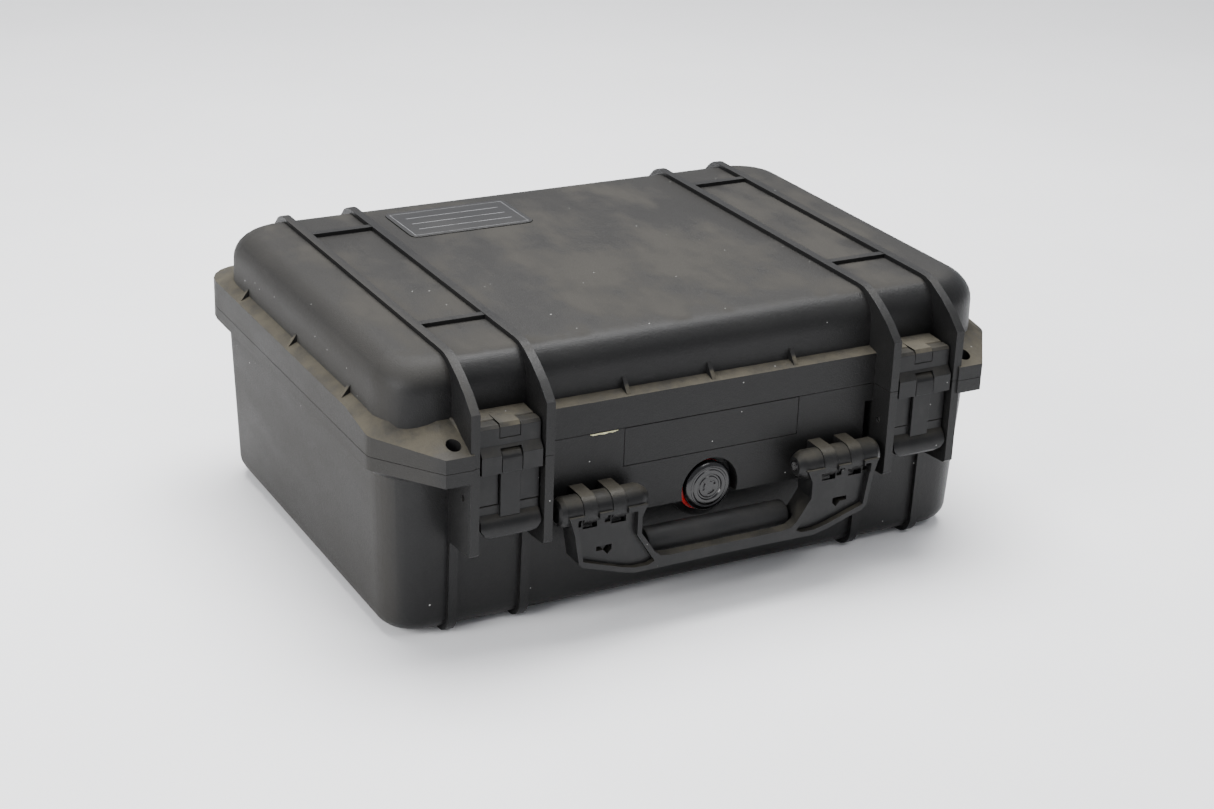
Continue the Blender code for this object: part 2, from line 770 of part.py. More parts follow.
def build_latch(side, label):
    x = side * LATCH_X

    bm = bmesh.new()
    add_prism(bm, "X", hook_arm_outline(), (x - LATCH_HALF, x + LATCH_HALF))
    hook = finish_mesh(f"latch_{label}_hook", bm, LATCH)

    def spine_gap(bm):
        half = SPINE_HALF + 0.35
        add_box(bm, (x - half, x + half), (-175.0, -140.0), (80.0, LEVER_PIN[1] + LEVER_KNUCKLE_R + 0.4))

    def nose_gap(bm):
        half = SPINE_HALF + 0.35
        add_box(bm, (x - half, x + half), (-175.0, -140.0), (132.0, 160.0))

    def hook_bores(bm):
        reach = LATCH_HALF + 2.0
        for centre in (HOOK_PIN, LEVER_PIN):
            add_cylinder(bm, "X", centre, LATCH_PIN_R + PIN_CLEARANCE, (x - reach, x + reach), 20)

    boolean(hook, tool_from(f"hook_{label}_spine_gap", spine_gap), "DIFFERENCE")
    boolean(hook, tool_from(f"hook_{label}_nose_gap", nose_gap), "DIFFERENCE")
    boolean(hook, tool_from(f"hook_{label}_bores", hook_bores), "DIFFERENCE")
    set_origin(hook, (x, *HOOK_PIN))

    bm = bmesh.new()
    add_prism(bm, "X", lever_spine_outline(), (x - SPINE_HALF, x + SPINE_HALF))
    lever = finish_mesh(f"latch_{label}_lever", bm, LATCH)

    def block(bm):
        add_prism(bm, "X", lever_block_outline(), (x - LATCH_HALF, x + LATCH_HALF))

    def lip_corners(bm):
        for edge in (-1, 1):
            corner = x + edge * (LATCH_HALF + 1.0)
            outline = [(corner, 68.0), (corner - edge * 8.5, 68.0), (corner - edge * 7.6, 73.0)]
            outline += [(corner - edge * 3.4, 75.2), (corner, 80.5)]
            add_prism(bm, "Y", outline, (-170.0, -145.0))

    def lever_bore(bm):
        add_cylinder(bm, "X", LEVER_PIN, LATCH_PIN_R + PIN_CLEARANCE, (x - 12.0, x + 12.0), 20)

    boolean(lever, tool_from(f"lever_{label}_block", block), "UNION")
    boolean(lever, tool_from(f"lever_{label}_lip_corners", lip_corners), "DIFFERENCE")
    boolean(lever, tool_from(f"lever_{label}_bore", lever_bore), "DIFFERENCE")
    set_origin(lever, (x, *LEVER_PIN))

    bm = bmesh.new()
    add_cylinder(bm, "X", HOOK_PIN, LATCH_PIN_R, (x - 24.0, x + 24.0), 20)
    pin = finish_mesh(f"latch_{label}_lower_pin", bm, STEEL)
    set_origin(pin, (x, *HOOK_PIN))

    bm = bmesh.new()
    add_cylinder(bm, "X", LEVER_PIN, LATCH_PIN_R, (x - 17.6, x + 17.6), 20)
    pin = finish_mesh(f"latch_{label}_upper_pin", bm, STEEL)
    set_origin(pin, (x, *LEVER_PIN))


# ---------------------------------------------------------------- handle


def handle_outline():
    """Return the handle's front view: two arms that taper into the carrying bar."""
    right = [
        (0.0, 37.2),
        (40.0, 36.8),
        (61.0, 36.8),
        (70.0, 39.0),
        (84.0, 43.6),
        (95.0, 47.0),
        (97.6, 49.7),
        (100.6, 68.0),
        (104.0, HANDLE_AXIS[1]),
        (54.0, HANDLE_AXIS[1]),
        (57.4, 72.0),
        (57.4, 61.5),
        (48.0, 47.6),
        (44.0, 44.6),
        (38.0, 43.8),
        (0.0, 43.8),
    ]
    return right + [(-x, z) for x, z in reversed(right[1:-1])]


def handle_pocket_outline():
    """Return the hollow between one arm's rims."""
    return [
        (60.4, 76.0),
        (60.4, 60.8),
        (51.4, 46.8),
        (48.2, 42.0),
        (52.0, 40.2),
        (61.0, 40.2),
        (70.0, 42.4),
        (84.0, 47.0),
        (94.8, 50.6),
        (97.4, 67.5),
        (99.0, 76.0),
    ]


def build_handle():
    bm = bmesh.new()
    add_prism(bm, "Y", handle_outline(), (HANDLE_FACE, HANDLE_REAR))
    handle = finish_mesh("handle_frame", bm, LATCH)

    def pockets(bm):
        for side in (-1, 1):
            outline = [(side * x, z) for x, z in handle_pocket_outline()]
            add_prism(bm, "Y", outline, (-175.0, WEB_FACE))
            add_prism(bm, "Y", outline, (WEB_REAR, -140.0))

    def bar_rear(bm):
        add_box(bm, (-49.5, 49.5), (-158.3, -140.0), (20.0, 60.0))

    def core(bm):
        add_cylinder(bm, "X", GRIP_AXIS, CORE_R, (-59.0, 59.0), 24)

    def core_ends(bm):
        for side in (-1, 1):
            near, far = sorted((side * 50.0, side * 59.5))
            add_box(bm, (near, far), (-157.5, GRIP_AXIS[0] - 0.5), (GRIP_AXIS[1] - 3.5, GRIP_AXIS[1] + 3.5))

    def knuckles(bm):
        for side in (-1, 1):
            for low, high in KNUCKLE_SPANS:
                ring = []
                for x, radius in knuckle_profile(low, high):
                    ring.append(knuckle_ring(side * x, radius))
                add_loft(bm, ring)

    def strap_gaps(bm):
        for low, high in both_sides(STRAP_SPANS):
            add_cylinder(bm, "X", HANDLE_AXIS, 12.0, (low - 0.3, high + 0.3), 40)

    def bores(bm):
        for side in (-1, 1):
            near, far = sorted((side * 49.0, side * 105.5))
            add_cylinder(bm, "X", HANDLE_AXIS, HANDLE_PIN_R + PIN_CLEARANCE, (near, far), 24)

    def windows(bm):
        for side in (-1, 1):
            outline = [(84.9, 56.8), (75.0, 56.8), (75.0, 53.6), (77.6, 50.8), (80.4, 54.0), (84.9, 54.0)]
            add_prism(bm, "Y", [(side * x, z) for x, z in outline], (-170.0, -145.0))
            for x in (95.0, 76.4):
                near, far = sorted((side * x, side * (x + 3.6)))
                add_box(bm, (near, far), (-170.0, -159.6), (71.2, 77.2))

    boolean(handle, tool_from("handle_pockets", pockets), "DIFFERENCE")
    boolean(handle, tool_from("handle_bar_rear", bar_rear), "DIFFERENCE")
    boolean(handle, tool_from("handle_knuckles", knuckles), "UNION")
    boolean(handle, tool_from("handle_core_ends", core_ends), "UNION")
    boolean(handle, tool_from("handle_core", core), "UNION")
    boolean(handle, tool_from("handle_strap_gaps", strap_gaps), "DIFFERENCE")
    boolean(handle, tool_from("handle_windows", windows), "DIFFERENCE")
    boolean(handle, tool_from("handle_bores", bores), "DIFFERENCE")
    set_origin(handle, (0.0, *HANDLE_AXIS))

    bm = bmesh.new()
    rings = []
    profile = ((0.0, CORE_R + 0.3), (0.0, GRIP_R - 2.0), (0.6, GRIP_R - 0.6), (2.0, GRIP_R))
    for inset, radius in profile:
        rings.append((GRIP_HALF - inset, radius))
    for inset, radius in reversed(profile):
        rings.append((inset - GRIP_HALF, radius))
    add_loft(bm, [grip_ring(x, radius) for x, radius in rings], closed=True)
    grip = finish_mesh("handle_grip", bm, RUBBER)
    set_origin(grip, (0.0, *HANDLE_AXIS))

    for side, name in ((-1, "handle_pin_left"), (1, "handle_pin_right")):
        bm = bmesh.new()
        near, far = sorted((side * 50.5, side * 104.5))
        add_cylinder(bm, "X", HANDLE_AXIS, HANDLE_PIN_R, (near, far), 24)
        pin = finish_mesh(name, bm, STEEL)
        set_origin(pin, (side * 77.5, *HANDLE_AXIS))


def knuckle_profile(low, high):
    """Return stations along one knuckle; the innermost and outermost ones end in a cone."""
    if low < 55.0:
        return ((low, 5.6), (low + 3.6, 8.2), (low + 6.0, KNUCKLE_R), (high, KNUCKLE_R))
    if high > 100.0:
        return ((low, KNUCKLE_R), (high - 3.6, KNUCKLE_R), (high - 1.2, 7.6), (high, 5.6))
    return ((low, KNUCKLE_R), (high, KNUCKLE_R))


def knuckle_ring(x, radius, segments=32):
    ring = []
    for k in range(segments):
        angle = 2.0 * math.pi * k / segments
        ring.append((x, HANDLE_AXIS[0] + radius * math.cos(angle), HANDLE_AXIS[1] + radius * math.sin(angle)))
    return ring


def grip_ring(x, radius, segments=28):
    ring = []
    for k in range(segments):
        angle = 2.0 * math.pi * k / segments
        ring.append((x, GRIP_AXIS[0] + radius * math.cos(angle), GRIP_AXIS[1] + radius * math.sin(angle)))
    return ring


# ---------------------------------------------------------------- valve


def turned(name, profile, material, segments=40):
    """Turn a profile of (radius, y) points round the valve's axis with a Screw modifier."""
    mesh = bpy.data.meshes.new(name)
    points = [(radius * MM, 0.0, height * MM) for radius, height in profile]
    edges = [(k, k + 1) for k in range(len(points) - 1)]
    mesh.from_pydata(points, edges, [])
    mesh.materials.append(material)
    item = bpy.data.objects.new(name, mesh)
    PARTS.objects.link(item)
    screw = item.modifiers.new("turn", "SCREW")
    screw.steps = segments
    screw.render_steps = segments
    screw.use_merge_vertices = True
    screw.merge_threshold = 0.00001
    screw.use_smooth_shade = True
    item.rotation_euler = (math.pi / 2, 0.0, 0.0)
    item.location = (0.0, VALVE_SEAT_Y * MM, VALVE_Z * MM)
    return item


def build_valve():
    front = -VALVE_SEAT_Y
    knob = (
        (0.0, 142.3 - front),
        (5.2, 142.3 - front),
        (5.6, 141.7 - front),
        (9.6, 141.7 - front),
        (10.0, 142.4 - front),
        (12.6, 142.4 - front),
        (13.0, 141.9 - front),
        (14.7, 141.6 - front),
        (VALVE_KNOB_R, 140.4 - front),
        (VALVE_KNOB_R, 137.0 - front),
        (0.0, 137.0 - front),
    )
    turned("valve_knob", knob, LATCH)
    body = (
        (0.0, 136.7 - front),
        (13.6, 136.7 - front),
        (13.6, 133.8 - front),
        (VALVE_STEM_R, 133.8 - front),
        (VALVE_STEM_R, 115.5 - front),
        (0.0, 115.5 - front),
    )
    turned("valve_body", body, LATCH)
    ring = []
    for k in range(13):
        angle = math.radians(90.0 - 30.0 * k)
        ring.append((15.6 + 1.45 * math.cos(angle), 135.3 - front + 1.45 * math.sin(angle)))
    turned("valve_o_ring", ring, RED)
    bm = bmesh.new()
    add_cylinder(bm, "Y", (0.0, VALVE_Z), 11.0, (-121.0, -117.0), 6)
    nut = finish_mesh("valve_nut", bm, LATCH)

    def bore(bm):
        add_cylinder(bm, "Y", (0.0, VALVE_Z), VALVE_STEM_R + PIN_CLEARANCE, (-130.0, -105.0), 32)

    boolean(nut, tool_from("valve_nut_bore", bore), "DIFFERENCE")


build_base()
build_lid()
build_lid_trim()
build_base_trim()
build_hinge_pins()
build_latch(-1, "left")
build_latch(1, "right")
build_handle()
build_valve()
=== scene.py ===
"""Looks for the moulded protective case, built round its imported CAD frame.

The hard parts keep their CAD meshes, with softened edges and procedural moulded-plastic, rubber and
steel materials.  The foam, the valve knob and the small marks on the shell are built here.
Everything is in metres in the frame's own axes: +X to the right, -Y to the front and +Z up.
"""

import math

import bmesh
import bpy
from mathutils import Matrix, Vector


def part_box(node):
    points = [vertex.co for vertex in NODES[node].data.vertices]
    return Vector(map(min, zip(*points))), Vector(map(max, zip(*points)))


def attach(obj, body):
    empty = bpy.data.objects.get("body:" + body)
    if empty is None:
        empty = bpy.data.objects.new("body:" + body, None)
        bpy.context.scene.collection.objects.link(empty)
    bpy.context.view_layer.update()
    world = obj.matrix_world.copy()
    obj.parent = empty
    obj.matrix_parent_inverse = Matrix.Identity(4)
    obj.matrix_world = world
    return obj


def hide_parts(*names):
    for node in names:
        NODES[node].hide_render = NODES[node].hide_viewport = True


MM = 0.001

# Places shared with the CAD model
SEAM_Z = 118.3 * MM
RIDGE_LOW = 172.0 * MM
SHELF_SPAN = (121.0 * MM, 142.5 * MM)
VALVE_AXIS_Z = 70.0 * MM

# Camera, fitted to the reference view
CAMERA_PLACE = (-0.63230, -1.17096, 0.63256)
CAMERA_TURN = (66.976, -1.910, -27.815)
CAMERA_LENS = 66.89
SENSOR_WIDTH = 36.0

# Studio
FLOOR_REACH = 15.0
SKY_COLOUR = (0.93, 0.95, 1.0, 1.0)
SKY_STRENGTH = 0.62

# Foam
FOAM_VOXEL = 3.0 * MM
SCORE_PITCH = 13.0 * MM
SCORE_DEPTH = 0.9 * MM
SCORE_FLAT = 0.55
CRATE_PITCH = 30.0 * MM
CRATE_RISE = 6.0 * MM
FACING_LIMIT = 0.7

# Round pieces of the valve
KNOB_SEGMENTS = 96
RING_STEPS = 96
RING_SIDES = 14
RING_SLIP = 1.9 * MM
RING_SLIP_ANGLE = math.radians(222.0)

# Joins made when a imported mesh's split vertices are welded
WELD_REACH = 0.002 * MM

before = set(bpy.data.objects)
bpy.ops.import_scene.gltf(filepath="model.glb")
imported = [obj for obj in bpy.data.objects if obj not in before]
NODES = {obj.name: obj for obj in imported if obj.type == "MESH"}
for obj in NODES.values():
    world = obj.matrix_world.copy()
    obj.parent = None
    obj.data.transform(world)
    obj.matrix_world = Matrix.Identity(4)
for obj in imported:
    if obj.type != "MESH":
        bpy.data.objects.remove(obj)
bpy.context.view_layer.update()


class Look:
    """A node material with short calls for the parts that the looks here share."""

    def __init__(self, name):
        self.material = bpy.data.materials.new(name)
        self.material.use_nodes = True
        self.tree = self.material.node_tree
        self.shader = self.tree.nodes["Principled BSDF"]
        coordinates = self.node("ShaderNodeTexCoord")
        self.place = coordinates.outputs["Object"]
        split = self.node("ShaderNodeSeparateXYZ")
        self.join(self.place, split.inputs[0])
        self.x, self.y, self.z = split.outputs
        facing = self.node("ShaderNodeSeparateXYZ")
        self.join(coordinates.outputs["Normal"], facing.inputs[0])
        self.facing_x, _, self.facing_z = facing.outputs

    def node(self, kind, **settings):
        made = self.tree.nodes.new(kind)
        for key, value in settings.items():
            setattr(made, key, value)
        return made

    def join(self, value, socket):
        """Link an output to a socket, or set the socket if the value is a plain one."""
        if isinstance(value, bpy.types.NodeSocket):
            self.tree.links.new(value, socket)
        else:
            socket.default_value = value

    def math(self, operation, first, second=0.0, clamp=False):
        made = self.node("ShaderNodeMath", operation=operation, use_clamp=clamp)
        self.join(first, made.inputs[0])
        self.join(second, made.inputs[1])
        return made.outputs[0]

    def product(self, *values):
        total = values[0]
        for value in values[1:]:
            total = self.math("MULTIPLY", total, value)
        return total

    def either(self, *values):
        total = values[0]
        for value in values[1:]:
            total = self.math("MAXIMUM", total, value)
        return total

    def ramp(self, value, low, high, start=0.0, end=1.0):
        """Rise smoothly from start to end as value goes from low to high."""
        made = self.node("ShaderNodeMapRange", interpolation_type="SMOOTHSTEP")
        self.join(value, made.inputs["Value"])
        for socket, number in (("From Min", low), ("From Max", high), ("To Min", start), ("To Max", end)):
            made.inputs[socket].default_value = number
        return made.outputs[0]

    def band(self, value, low, high, soft):
        """Return 1 between low and high and 0 outside, with soft edges."""
        rise = self.ramp(value, low - soft, low + soft)
        return self.product(rise, self.ramp(value, high - soft, high + soft, 1.0, 0.0))

    def noise(self, scale, detail=3.0, roughness=0.55, stretch=None):
        made = self.node("ShaderNodeTexNoise")
        made.inputs["Scale"].default_value = scale
        made.inputs["Detail"].default_value = detail
        made.inputs["Roughness"].default_value = roughness
        place = self.place
        if stretch:
            mapping = self.node("ShaderNodeMapping")
            mapping.inputs["Scale"].default_value = stretch
            self.join(place, mapping.inputs["Vector"])
            place = mapping.outputs[0]
        self.join(place, made.inputs["Vector"])
        return made.outputs[0]

    def cells(self, scale, feature="F1", output="Distance"):
        made = self.node("ShaderNodeTexVoronoi", feature=feature)
        made.inputs["Scale"].default_value = scale
        self.join(self.place, made.inputs["Vector"])
        return made.outputs[output]

    def blend(self, factor, first, second):
        made = self.node("ShaderNodeMix", data_type="RGBA")
        self.join(factor, made.inputs[0])
        self.join((*first, 1.0) if isinstance(first, tuple) else first, made.inputs[6])
        self.join((*second, 1.0) if isinstance(second, tuple) else second, made.inputs[7])
        return made.outputs[2]

    def bump(self, height, strength, distance):
        made = self.node("ShaderNodeBump")
        made.inputs["Strength"].default_value = strength
        made.inputs["Distance"].default_value = distance
        self.join(height, made.inputs["Height"])
        return made.outputs[0]

    def finish(self, colour, roughness, normal=None, **uniform):
        self.join(colour, self.shader.inputs["Base Color"])
        self.join(roughness, self.shader.inputs["Roughness"])
        if normal is not None:
            self.join(normal, self.shader.inputs["Normal"])
        for socket, value in uniform.items():
            self.shader.inputs[socket.replace("_", " ")].default_value = value
        return self.material


# Colours, linear
CLEAN = (0.0062, 0.0062, 0.0064)
WORN = (0.0150, 0.0146, 0.0140)
# The pale film colour is dust, and on the shell's left shoulder it is also painted light.
DUST_FILM_AND_PAINTED_LIGHT = (0.0350, 0.0326, 0.0284)
CLAY = (0.0950, 0.0840, 0.0600)
CHALK = (0.62, 0.62, 0.60)


def flecks(look, scale, size, share):
    """Return a mask of sparse tiny specks: about one in every so many cells."""
    near = look.ramp(look.cells(scale), size, size * 1.6, 1.0, 0.0)
    cell = look.node("ShaderNodeSeparateXYZ")
    look.join(look.cells(scale, output="Color"), cell.inputs[0])
    chosen = look.math("LESS_THAN", cell.outputs[0], share)
    return look.product(near, chosen)


def shell_material():
    """Return grained charcoal plastic, with dust settled on its upward faces and ledges, and painted light
    on its left shoulder.
    """
    look = Look("shell_plastic")
    grain = look.noise(1500.0, 2.0, 0.6)
    clouds = look.noise(13.0, 4.0, 0.55)
    smears = look.noise(34.0, 3.0, 0.6, (1.0, 0.35, 1.0))
    roof = look.ramp(look.facing_z, 0.86, 1.0)
    uneven = look.math("ADD", look.product(clouds, 0.65), look.product(smears, 0.35))
    patchy = look.ramp(uneven, 0.42, 0.60)
    below_ridge = look.ramp(look.z, RIDGE_LOW - 0.6 * MM, RIDGE_LOW + 0.6 * MM, 1.0, 0.28)
    settled = look.product(roof, look.ramp(patchy, 0.0, 1.0, 0.38, 1.0), below_ridge)
    # Painted light: the left shoulder is lightened with the pale film colour, as if lit from the left.
    painted_left_shoulder_light = look.product(look.ramp(look.facing_z, 0.15, 0.8), look.ramp(look.x, -0.150, -0.166), 0.5)
    outer = look.ramp(look.math("ABSOLUTE", look.x), 0.176, 0.186)
    sides = look.product(look.ramp(look.math("ABSOLUTE", look.facing_x), 0.5, 0.95), outer, 0.55)
    # The pale overlay is settled dust, the painted light on the left shoulder, and the outer side faces.
    pale_overlay = look.product(look.either(settled, painted_left_shoulder_light, sides), look.ramp(smears, 0.25, 0.7, 0.75, 1.0))

    ledge = look.product(look.band(look.z, *SHELF_SPAN, 1.0 * MM), look.ramp(look.facing_z, 0.22, 0.5))
    ledge = look.product(ledge, look.ramp(look.noise(60.0, 4.0, 0.65), 0.32, 0.62, 0.30, 0.95))
    strap_tops = look.band(look.z, 84.0 * MM, 90.0 * MM, 0.8 * MM)
    straps = look.product(strap_tops, look.ramp(look.facing_z, 0.6, 0.9))

    lift = look.product(look.ramp(look.noise(7.0, 3.0), 0.3, 0.7), 0.35)
    colour = look.blend(lift, CLEAN, WORN)
    colour = look.blend(look.ramp(grain, 0.45, 0.75, 0.0, 0.45), colour, WORN)
    # Blend in the pale film: dust, plus painted light on the left shoulder.
    colour = look.blend(pale_overlay, colour, DUST_FILM_AND_PAINTED_LIGHT)
    clay = look.either(look.product(ledge, 0.62), look.product(straps, 0.30))
    colour = look.blend(clay, colour, CLAY)
    specks = look.either(flecks(look, 75.0, 0.030, 0.06), flecks(look, 210.0, 0.06, 0.03))
    colour = look.blend(look.product(specks, 0.55), colour, CHALK)
    # Roughness rises with the dust, and also on the painted-light left shoulder.
    dust_and_painted_light = look.either(pale_overlay, ledge)
    dust_roughness = look.ramp(dust_and_painted_light, 0.0, 0.9, 0.40, 0.78)
    roughness = look.math("ADD", dust_roughness, look.ramp(grain, 0.3, 0.7, -0.05, 0.06))
    height = look.math("ADD", grain, look.product(look.noise(420.0, 2.0), 0.6))
    grained = look.bump(height, 0.60, 0.30 * MM)
    return look.finish(colour, roughness, grained, Specular_IOR_Level=0.22)


def latch_material():
    """Return smoother nylon-like plastic for the latches, the handle and the valve."""
    look = Look("latch_plastic")
    grain = look.noise(1900.0, 2.0, 0.6)
    patches = look.noise(70.0, 4.0, 0.6)
    upward = look.ramp(look.facing_z, 0.45, 0.9)
    dust = look.product(upward, look.ramp(patches, 0.35, 0.6, 0.35, 0.9))
    rubbed = look.product(look.ramp(patches, 0.45, 0.72), 0.55)
    colour = look.blend(rubbed, CLEAN, WORN)
    colour = look.blend(look.product(dust, 0.28), colour, CLAY)
    colour = look.blend(look.product(flecks(look, 260.0, 0.07, 0.06), 0.4), colour, CHALK)
    dust_roughness = look.ramp(dust, 0.0, 0.9, 0.36, 0.75)
    roughness = look.math("ADD", dust_roughness, look.ramp(grain, 0.3, 0.7, -0.05, 0.05))
    grained = look.bump(grain, 0.30, 0.22 * MM)
    return look.finish(colour, roughness, grained, Specular_IOR_Level=0.22)


def knob_material():
    look = Look("knob_plastic")
    grain = look.noise(900.0, 2.0)
    scuffs = look.noise(120.0, 3.0, 0.6)
    colour = look.blend(look.ramp(scuffs, 0.5, 0.75), (0.0036, 0.0036, 0.0040), (0.0080, 0.0080, 0.0080))
    return look.finish(colour, look.ramp(scuffs, 0.3, 0.7, 0.16, 0.26), look.bump(grain, 0.01, 0.02 * MM))


def grip_material():
    look = Look("grip_rubber")
    pebble = look.cells(620.0, "SMOOTH_F1")
    wear = look.noise(45.0, 4.0, 0.6)
    upward = look.ramp(look.facing_z, 0.3, 1.0)
    colour = look.blend(look.ramp(wear, 0.35, 0.7), (0.0060, 0.0060, 0.0064), (0.0125, 0.0122, 0.0120))
    colour = look.blend(look.product(upward, look.ramp(wear, 0.4, 0.7), 0.25), colour, DUST_FILM_AND_PAINTED_LIGHT)
    roughness = look.ramp(wear, 0.3, 0.7, 0.52, 0.70)
    return look.finish(colour, roughness, look.bump(pebble, 0.35, 0.25 * MM), Specular_IOR_Level=0.3)


def seal_material():
    look = Look("seal_rubber")
    mottle = look.noise(400.0, 3.0)
    colour = look.blend(look.ramp(mottle, 0.35, 0.65), (0.018, 0.018, 0.018), (0.034, 0.033, 0.032))
    return look.finish(colour, look.ramp(mottle, 0.3, 0.7, 0.55, 0.75), look.bump(mottle, 0.15, 0.15 * MM))


def red_rubber_material():
    look = Look("ring_rubber")
    mottle = look.noise(500.0, 3.0)
    colour = look.blend(look.ramp(mottle, 0.35, 0.65), (0.60, 0.012, 0.012), (0.45, 0.010, 0.010))
    return look.finish(colour, look.ramp(mottle, 0.3, 0.7, 0.22, 0.36), look.bump(mottle, 0.08, 0.1 * MM))


def steel_material():
    look = Look("pin_steel")
    drawn = look.noise(900.0, 3.0, 0.6, (0.05, 1.0, 1.0))
    colour = look.blend(look.ramp(drawn, 0.3, 0.7), (0.50, 0.50, 0.51), (0.62, 0.61, 0.60))
    roughness = look.ramp(drawn, 0.3, 0.7, 0.24, 0.40)
    return look.finish(colour, roughness, look.bump(drawn, 0.1, 0.05 * MM), Metallic=1.0)


def foam_material():
    """Return open-cell foam: dense small pores and a slight unevenness of colour."""
    look = Look("open_cell_foam")
    pores = look.cells(950.0)
    coarse = look.cells(420.0, "SMOOTH_F1")
    tone = look.noise(30.0, 3.0)
    colour = look.blend(look.ramp(pores, 0.15, 0.6), (0.018, 0.018, 0.020), (0.062, 0.063, 0.068))
    colour = look.blend(look.ramp(tone, 0.4, 0.7, 0.0, 0.35), colour, (0.085, 0.085, 0.090))
    height = look.math("ADD", pores, coarse)
    return look.finish(colour, 0.95, look.bump(height, 0.6, 0.6 * MM), Specular_IOR_Level=0.15)


def label_material():
    """Return the roof label: a worn dark plate with a plain border and ruled write-on lines."""
    look = Look("label_plate")
    low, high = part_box("lid_label")
    worn = look.noise(160.0, 4.0, 0.65)
    clouds = look.noise(26.0, 3.0)
    inset = 3.0 * MM
    line = 0.35 * MM
    outer = look.product(
        look.band(look.x, low[0] + inset, high[0] - inset, 0.1 * MM),
        look.band(look.y, low[1] + inset, high[1] - inset, 0.1 * MM),
    )
    inner = look.product(
        look.band(look.x, low[0] + inset + line, high[0] - inset - line, 0.1 * MM),
        look.band(look.y, low[1] + inset + line, high[1] - inset - line, 0.1 * MM),
    )
    border = look.math("SUBTRACT", outer, inner, clamp=True)
    across = look.band(look.x, low[0] + 10.0 * MM, high[0] - 10.0 * MM, 0.2 * MM)
    rules = [border]
    for share in (0.28, 0.50, 0.72):
        y = low[1] + share * (high[1] - low[1])
        rules.append(look.product(across, look.band(look.y, y - 0.3 * MM, y + 0.3 * MM, 0.1 * MM)))
    printed = look.product(look.either(*rules), look.ramp(worn, 0.30, 0.52, 0.25, 0.8))
    pale_overlay = look.ramp(clouds, 0.35, 0.7, 0.04, 0.22)
    colour = look.blend(pale_overlay, (0.0080, 0.0078, 0.0078), DUST_FILM_AND_PAINTED_LIGHT)
    colour = look.blend(printed, colour, (0.26, 0.26, 0.27))
    return look.finish(colour, look.ramp(pale_overlay, 0.0, 0.6, 0.32, 0.6), look.bump(worn, 0.05, 0.1 * MM))


def sliver_material():
    look = Look("dried_paint")
    mottle = look.noise(900.0, 3.0)
    colour = look.blend(look.ramp(mottle, 0.35, 0.65), (0.62, 0.60, 0.36), (0.42, 0.40, 0.24))
    return look.finish(colour, 0.6, look.bump(mottle, 0.3, 0.1 * MM))


SHELL = shell_material()
LATCH = latch_material()
KNOB = knob_material()
STEEL = steel_material()
FOAM = foam_material()

NODE_LOOKS = {
    "base_shell": SHELL,
    "lid_shell": SHELL,
    "name_plate": SHELL,
    "lid_label": label_material(),
    "lid_seal": seal_material(),
    "handle_frame": LATCH,
    "handle_grip": grip_material(),
    "valve_body": KNOB,
    "valve_nut": LATCH,
}
for node in NODES:
    if node.startswith("latch_"):
        NODE_LOOKS[node] = STEEL if node.endswith("_pin") else LATCH
    elif "_pin_" in node:
        NODE_LOOKS[node] = STEEL

# Edge rounding of the hard parts
SHARP_ANGLE = math.radians(28.0)
LATCH_ROUND = 0.5 * MM
EDGE_ROUND = {
    "base_shell": 0.7 * MM,
    "lid_shell": 0.7 * MM,
    "name_plate": 0.25 * MM,
    "lid_label": 0.15 * MM,
    "handle_frame": 0.6 * MM,
    "valve_nut": 0.4 * MM,
}


def smoothing_group():
    """Return a modifier's node group that shades a mesh smooth except at edges over the sharp angle."""
    group = bpy.data.node_groups.new("smooth_below_angle", "GeometryNodeTree")
    group.interface.new_socket("Mesh", in_out="INPUT", socket_type="NodeSocketGeometry")
    group.interface.new_socket("Mesh", in_out="OUTPUT", socket_type="NodeSocketGeometry")
    nodes = group.nodes
    start = nodes.new("NodeGroupInput")
    drop = nodes.new("GeometryNodeRemoveAttribute")
    drop.inputs["Name"].default_value = "custom_normal"
    faces = nodes.new("GeometryNodeSetShadeSmooth")
    faces.domain = "FACE"
    angle = nodes.new("GeometryNodeInputMeshEdgeAngle")
    sharp = nodes.new("FunctionNodeCompare")
    sharp.operation = "GREATER_THAN"
    sharp.inputs[1].default_value = SHARP_ANGLE
    edges = nodes.new("GeometryNodeSetShadeSmooth")
    edges.domain = "EDGE"
    edges.inputs["Shade Smooth"].default_value = False
    end = nodes.new("NodeGroupOutput")
    link = group.links.new
    link(start.outputs[0], drop.inputs["Geometry"])
    link(drop.outputs[0], faces.inputs["Geometry"])
    link(faces.outputs[0], edges.inputs["Geometry"])
    link(angle.outputs["Unsigned Angle"], sharp.inputs[0])
    link(sharp.outputs[0], edges.inputs["Selection"])
    link(edges.outputs[0], end.inputs[0])
    return group


SMOOTHING = smoothing_group()


def soften_edges(item, width):
    """Rejoin the mesh's flat faces, shade its curves smooth and round its edges if a width is given."""
    weld = item.modifiers.new("rejoin", "WELD")
    weld.merge_threshold = WELD_REACH
    flat = item.modifiers.new("flatten", "DECIMATE")
    flat.decimate_type = "DISSOLVE"
    flat.angle_limit = math.radians(0.6)
    item.modifiers.new("shade", "NODES").node_group = SMOOTHING
    if not width:
        return
    bevel = item.modifiers.new("round", "BEVEL")
    bevel.width = width
    bevel.segments = 2
    bevel.limit_method = "ANGLE"
    bevel.angle_limit = SHARP_ANGLE
    bevel.harden_normals = True


def dress_nodes():
    for node, material in NODE_LOOKS.items():
        item = NODES[node]
        for slot in item.material_slots:
            slot.material = material
        width = EDGE_ROUND.get(node, 0.0)
        if node.startswith("latch_") and not node.endswith("_pin"):
            width = LATCH_ROUND
        soften_edges(item, width)


